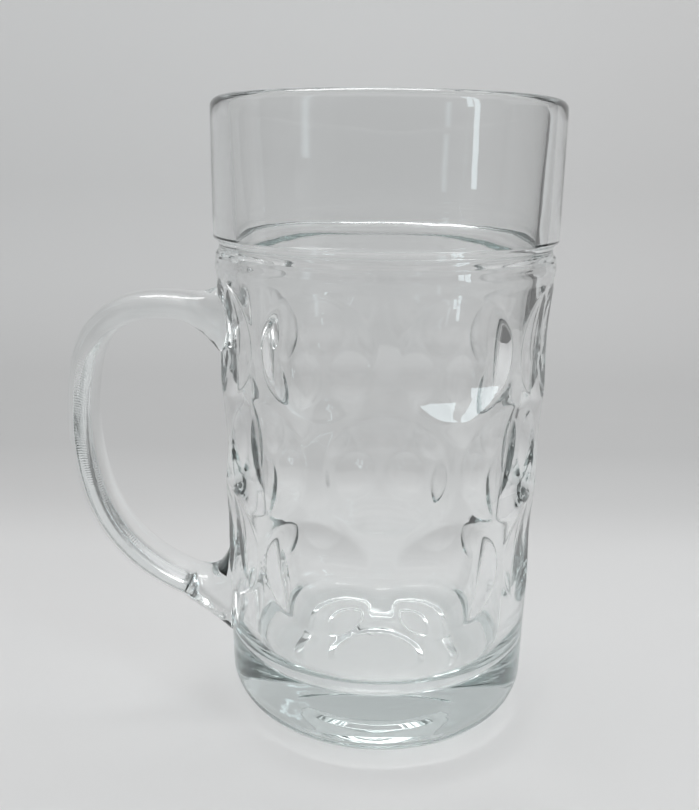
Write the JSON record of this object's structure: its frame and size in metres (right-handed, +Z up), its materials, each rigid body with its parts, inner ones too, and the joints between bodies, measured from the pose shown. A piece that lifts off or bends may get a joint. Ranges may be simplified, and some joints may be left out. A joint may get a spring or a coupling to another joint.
{
  "type": "dimpled glass beer mug",
  "caption": "Thick pressed-glass beer mug with staggered rows of round dimples, a plain rim band over a groove, and a looped glass handle.",
  "frame": {"origin": "on the bowl's axis, at the level of the ring that the mug stands on", "axes": "+Z up along the bowl's axis from the base to the rim; the handle points along -X; +Y is the bowl's side away from the front"},
  "size_m": [0.1587, 0.1088, 0.2],
  "materials": {
    "bowl_glass": "fire-polished pressed glass, clear with a faint grey-green cast",
    "handle_glass": "fire-polished glass with faint chill marks, clear with a faint grey-green cast"
  },
  "bodies": {
    "root": {"mug_bowl": "bowl_glass", "handle": "handle_glass"}
  },
  "joints": []
}
